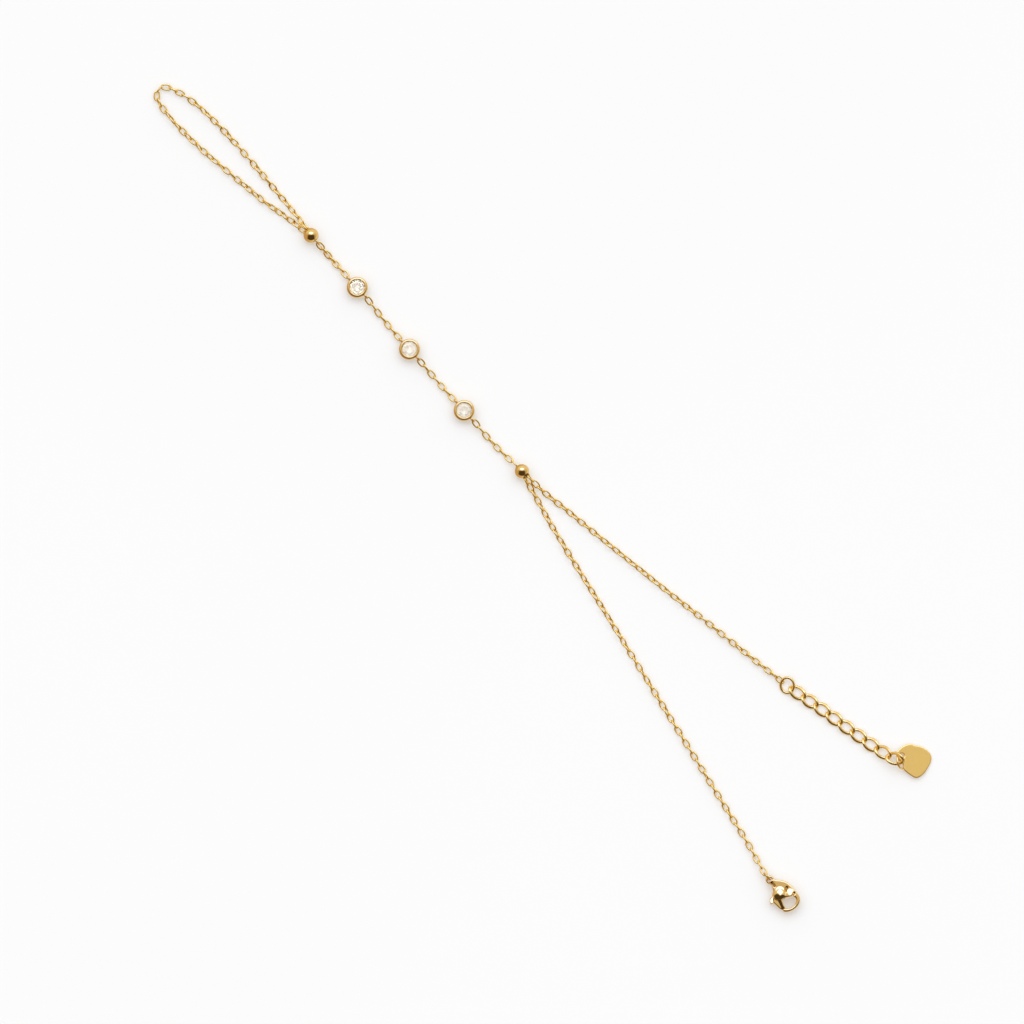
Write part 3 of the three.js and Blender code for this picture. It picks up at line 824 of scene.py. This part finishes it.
def clasp_lever():
    step = 0.055
    (x, y, z), origin = grid((2.0, -3.3, -0.95), (6.4, 0.2, 0.95), step)
    x2, y2 = x[:, :, 0], y[:, :, 0]
    d2 = sd_polygon(x2, y2, LEVER)[:, :, None]
    outer = -(x - 3.30) * 0.300 - (y + 0.95) * 0.954
    rib = 0.52 - 0.37 * np.clip(outer + 0.22 - 0.10 * np.clip(4.6 - x, 0, 1.2), 0, 0.58) + 0.10 * np.clip(outer - 0.36, 0, 1)
    f = smax(np.repeat(d2, z.shape[2], 2), (np.abs(z) - rib) / 1.06, 0.20)
    down = (x - 3.32) * 0.7466 - (y + 2.52) * 0.6652
    across = (x - 3.32) * 0.6652 + (y + 2.52) * 0.7466
    pad = (np.sqrt((down / 0.68) ** 2 + (across / 0.38) ** 2) - 1) * 0.38
    nub = smax(pad, (np.abs(z) - 0.56 - 0.26 * down + 0.30 * across * across) / 1.03, 0.16)
    f = smin(f, nub, 0.08)
    f = np.maximum(f, -(np.sqrt((x - PIVOT[0]) ** 2 + (y - PIVOT[1]) ** 2) - 0.40))
    v, q = surface_nets(f, origin, step)
    piece("cast_clasp_lever", [moved((v, q), TURN, at=CLASP_AT)], POLISHED_GOLD, ["clasp_lever"], body="lever")


clasp_body()
clasp_lever()
ring = moved(torus(0.85, 0.18, 56, 16), rot("x", 90), at=(-0.85, 0, 0))
piece("jump_ring_clasp", [moved(ring, TURN, at=CLASP_AT)], POLISHED_GOLD, ["clasp_ring"])

# ------------------------------------------------------------------ extender and tag


def jump_ring(name, node, at, radius, wire, heading, tilt):
    piece(name, [moved(torus(radius, wire, 72, 16), rot("x", tilt), rot("z", heading), at=at)], WIRE_GOLD, [node])


def curb_path(half_length=1.71, half_width=1.04, twist=40, steps=64):
    a = np.linspace(0, 2 * np.pi, steps, endpoint=False)
    x = half_length * np.cos(a)
    r = half_width * np.sin(a)
    turn = math.radians(twist) * np.cos(a)
    return np.c_[x, r * np.cos(turn), r * np.sin(turn)]


CURB = sweep_closed(curb_path(), 0.235, 16, section=lambda a: 1 / math.hypot(math.cos(a) / 1.32, math.sin(a) / 0.84))
HEADINGS = [(12.3, 0.60, 0, None, 0, 2.44), (14.0, 0.60, 0, None, 0, 2.92), (13.8, 0.60, 0, None, 0, 2.92), (12.2, 0.60, 0, None, 0, 2.92),
            (12.0, 0.60, 0, None, 0, 2.92), (13.0, 0.60, 0, None, 0, 2.92), (13.0, 0.62, 1, None, 0, 2.92), (15.0, 1.02, 13.6, -73.7, 6.4, 2.88)]
a = np.linspace(0, 2 * np.pi, 72, endpoint=False)
start = sweep_closed(np.c_[1.31 * np.cos(a), 1.50 * np.sin(a), 0 * a], 0.27, 16)
piece("jump_ring_extender", [moved(start, rot("z", 36.0), rot("x", 17), rot("z", 12.3 - 90), at=(10.76, -65.78, 0.70))],
      WIRE_GOLD, ["extender_ring"])
cx, cy = 10.76, -65.78
for i, (h, z, rise, turn, roll, step) in enumerate(HEADINGS):
    cx += step * math.sin(math.radians(h))
    cy -= step * math.cos(math.radians(h))
    nxt = HEADINGS[min(i + 1, len(HEADINGS) - 1)][0]
    turn = (h + nxt) / 2 - 90 if turn is None else turn
    piece(f"curb_link_{i + 1}", [moved(CURB, rot("x", roll), rot("y", -rise), rot("z", turn), at=(cx, cy, z))],
          WIRE_GOLD, [f"extender_link_{i + 1}"])
piece("curb_link_9", [moved(CURB, rot("x", 5.1), rot("y", -16.0), rot("z", -54.6), at=(16.80, -90.51, 1.77))],
      WIRE_GOLD, ["extender_link_9"])
jump_ring("jump_ring_tag", "tag_ring", (17.30, -91.80, 1.32), 1.33, 0.19, 56.0, 57.2)

TAG = spline_loop([
    (-0.70, -1.35), (-0.47, -0.92), (-0.44, -0.40), (-0.48, 0.20), (-0.40, 0.90), (0.00, 1.55), (0.75, 1.90), (1.85, 1.86), (2.85, 1.58),
    (3.52, 1.10), (3.80, 0.62), (4.25, 0.05), (4.75, -0.75), (5.08, -1.70), (5.10, -2.70), (4.68, -3.58), (3.95, -4.12), (2.95, -4.50),
    (1.80, -4.82), (0.75, -4.86), (0.12, -4.72), (-0.40, -4.28), (-0.64, -3.60), (-0.84, -2.70), (-0.94, -1.90)], 6)


def tag():
    step = 0.06
    (x, y, z), origin = grid((-1.1, -5.0, -0.2), (5.2, 2.0, 0.2), step)
    d2 = sd_polygon(x[:, :, 0], y[:, :, 0], TAG)[:, :, None]
    hole = 0.53 - np.sqrt((x - 0.56) ** 2 + (y - 0.56) ** 2)
    f = smax(smax(np.repeat(d2, z.shape[2], 2), np.abs(z) - 0.18, 0.14), hole, 0.10)
    v, q = surface_nets(f, origin, step)
    a = math.radians(-18.2)
    k = np.array([-math.sin(a), math.cos(a), 0.0])
    t = math.radians(7.4)
    kx = np.array([[0, -k[2], k[1]], [k[2], 0, -k[0]], [-k[1], k[0], 0]])
    m = np.eye(3) + math.sin(t) * kx + (1 - math.cos(t)) * kx @ kx
    piece("end_tag", [moved((v, q), m, at=(17.65, -91.55, 0.93))], FLAT_GOLD, ["tag"])


tag()

# ------------------------------------------------------------------ floor

mesh = bpy.data.meshes.new("floor")
half = 3.0
mesh.from_pydata([(-half, -half, 0), (half, -half, 0), (half, half, 0), (-half, half, 0)], [], [(0, 1, 2, 3)])
mesh.materials.append(floor_material())
floor = bpy.data.objects.new("floor", mesh)
bpy.context.scene.collection.objects.link(floor)
floor.visible_glossy = False                # the metal mirrors the studio's table instead, see make_world
floor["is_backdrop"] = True

bpy.context.scene.view_settings.view_transform = "Standard"


def plain(box):
    if isinstance(box, dict):
        return {k: plain(v) for k, v in box.items()}
    if isinstance(box, (list, tuple)) or hasattr(box, "__len__"):
        return [plain(v) for v in box]
    return float(box)


{"cad": plain(CAD_BOX), "visual": plain(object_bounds())}
